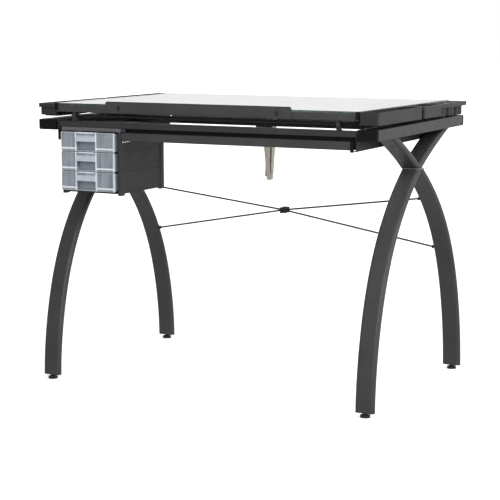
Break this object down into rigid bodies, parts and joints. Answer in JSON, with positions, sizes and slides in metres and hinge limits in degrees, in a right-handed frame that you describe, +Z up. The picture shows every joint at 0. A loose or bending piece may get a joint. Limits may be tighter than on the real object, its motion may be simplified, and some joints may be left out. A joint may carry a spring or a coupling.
{
  "type": "drafting table",
  "caption": "Drafting table with a glass top that tilts on front hinges, side trays, a sliding pencil ledge, curved crossed steel legs and a hanging drawer unit.",
  "frame": {"origin": "on the floor under the centre of the table", "axes": "+X to the sitter's right, +Y away from the sitter, +Z up"},
  "size_m": [1.045, 0.681, 0.806],
  "materials": {
    "charcoal_powder_coat": "satin powder coat",
    "black_plastic": "matt",
    "black_rubber": "matt",
    "black_steel": "satin",
    "zinc_plate": "zinc plated",
    "tempered_glass": "clear, polished",
    "case_plastic": "moulded, fine texture",
    "tray_plastic": "moulded, fine texture",
    "drawer_plastic": "translucent",
    "leveller_plastic": "moulded"
  },
  "bodies": {
    "base_frame": {"side_rail_left": "charcoal_powder_coat", "side_rail_right": "charcoal_powder_coat", "frame_end_caps": "black_plastic", "side_channel_left": "charcoal_powder_coat", "side_channel_right": "charcoal_powder_coat", "front_apron_upper_bar": "charcoal_powder_coat", "front_apron_web": "charcoal_powder_coat", "front_apron_lower_bar": "charcoal_powder_coat", "rear_apron": "charcoal_powder_coat", "top_rest_bumpers": "black_rubber", "mid_cross_bar": "charcoal_powder_coat", "leg_front_left": "charcoal_powder_coat", "leg_front_right": "charcoal_powder_coat", "leg_rear_left": "charcoal_powder_coat", "leg_rear_right": "charcoal_powder_coat", "arm_front_left": "charcoal_powder_coat", "arm_front_right": "charcoal_powder_coat", "arm_rear_left": "charcoal_powder_coat", "arm_rear_right": "charcoal_powder_coat", "leg_plugs": "black_plastic", "brace_rod_a": "black_steel", "brace_rod_b": "black_steel", "brace_clamp": "black_steel", "frame_fasteners": "black_steel", "hinge_brackets_base": "charcoal_powder_coat", "hinge_rod": "black_steel", "drawer_case_posts": "case_plastic", "drawer_case_base": "case_plastic", "drawer_case_top": "case_plastic", "drawer_case_side_left": "case_plastic", "drawer_case_side_right": "case_plastic", "drawer_case_back": "case_plastic", "drawer_hangers": "charcoal_powder_coat", "drawer_case_hook": "zinc_plate", "stay_base_bracket": "black_steel"},
    "tilting_top": {"top_front_rail": "charcoal_powder_coat", "top_rear_rail": "charcoal_powder_coat", "top_side_rail_left": "charcoal_powder_coat", "top_side_rail_right": "charcoal_powder_coat", "top_cross_bar": "charcoal_powder_coat", "tray_shelves": "charcoal_powder_coat", "glass_top": "tempered_glass", "glass_corner_pads": "black_plastic", "hinge_brackets_top": "charcoal_powder_coat", "ledge_guide_screws": "black_steel", "stay_top_bracket": "black_steel"},
    "pencil_ledge": {"pencil_ledge": "charcoal_powder_coat"},
    "stay_lower": {"stay_lower_arm": "zinc_plate"},
    "stay_upper": {"stay_upper_arm": "zinc_plate"},
    "tray_long_front_right": {"tray_long_front_right": "tray_plastic"},
    "tray_cups_rear_right": {"tray_cups_rear_right": "tray_plastic"},
    "tray_long_rear_left": {"tray_long_rear_left": "tray_plastic"},
    "tray_cups_front_left": {"tray_cups_front_left": "tray_plastic"},
    "drawer_bottom": {"drawer_bottom": "drawer_plastic"},
    "drawer_middle": {"drawer_middle": "drawer_plastic"},
    "drawer_top": {"drawer_top": "drawer_plastic"},
    "leveller_front_left": {"leveller_front_left": "leveller_plastic"},
    "leveller_front_right": {"leveller_front_right": "leveller_plastic"},
    "leveller_rear_left": {"leveller_rear_left": "leveller_plastic"},
    "leveller_rear_right": {"leveller_rear_right": "leveller_plastic"}
  },
  "joints": [
    {"name": "top_tilt", "type": "hinge", "parent": "base_frame", "child": "tilting_top", "pos_m": [0, -0.318, 0.764], "axis": [1, 0, 0], "range_deg": [0, 35]},
    {"name": "ledge_slide", "type": "slide", "parent": "tilting_top", "child": "pencil_ledge", "axis": [0, 0, 1], "range_m": [0, 0.007]},
    {"name": "stay_lower_swing", "type": "hinge", "parent": "base_frame", "child": "stay_lower", "pos_m": [0, 0.07, 0.733], "axis": [1, 0, 0], "range_deg": [0, 147]},
    {"name": "stay_upper_swing", "type": "hinge", "parent": "tilting_top", "child": "stay_upper", "pos_m": [0, 0.11, 0.772], "axis": [1, 0, 0], "range_deg": [0, 6]},
    {"name": "tray_long_front_right_lift", "type": "slide", "parent": "tilting_top", "child": "tray_long_front_right", "axis": [0, 0, 1], "range_m": [0, 0.06]},
    {"name": "tray_cups_rear_right_lift", "type": "slide", "parent": "tilting_top", "child": "tray_cups_rear_right", "axis": [0, 0, 1], "range_m": [0, 0.06]},
    {"name": "tray_long_rear_left_lift", "type": "slide", "parent": "tilting_top", "child": "tray_long_rear_left", "axis": [0, 0, 1], "range_m": [0, 0.06]},
    {"name": "tray_cups_front_left_lift", "type": "slide", "parent": "tilting_top", "child": "tray_cups_front_left", "axis": [0, 0, 1], "range_m": [0, 0.06]},
    {"name": "drawer_bottom_slide", "type": "slide", "parent": "base_frame", "child": "drawer_bottom", "axis": [0, -1, 0], "range_m": [0, 0.15]},
    {"name": "drawer_middle_slide", "type": "slide", "parent": "base_frame", "child": "drawer_middle", "axis": [0, -1, 0], "range_m": [0, 0.15]},
    {"name": "drawer_top_slide", "type": "slide", "parent": "base_frame", "child": "drawer_top", "axis": [0, -1, 0], "range_m": [0, 0.15]},
    {"name": "leveller_front_left_turn", "type": "hinge", "parent": "base_frame", "child": "leveller_front_left", "pos_m": [-0.492, -0.327, 0], "axis": [0, 0, 1], "continuous": true},
    {"name": "leveller_front_right_turn", "type": "hinge", "parent": "base_frame", "child": "leveller_front_right", "pos_m": [0.492, -0.327, 0], "axis": [0, 0, 1], "continuous": true},
    {"name": "leveller_rear_left_turn", "type": "hinge", "parent": "base_frame", "child": "leveller_rear_left", "pos_m": [-0.492, 0.327, 0], "axis": [0, 0, 1], "continuous": true},
    {"name": "leveller_rear_right_turn", "type": "hinge", "parent": "base_frame", "child": "leveller_rear_right", "pos_m": [0.492, 0.327, 0], "axis": [0, 0, 1], "continuous": true}
  ],
  "couplings": [
    {"joint": "stay_lower_swing", "follows": "top_tilt", "ratio": 4.1704},
    {"joint": "stay_upper_swing", "follows": "top_tilt", "ratio": 0.14846}
  ]
}
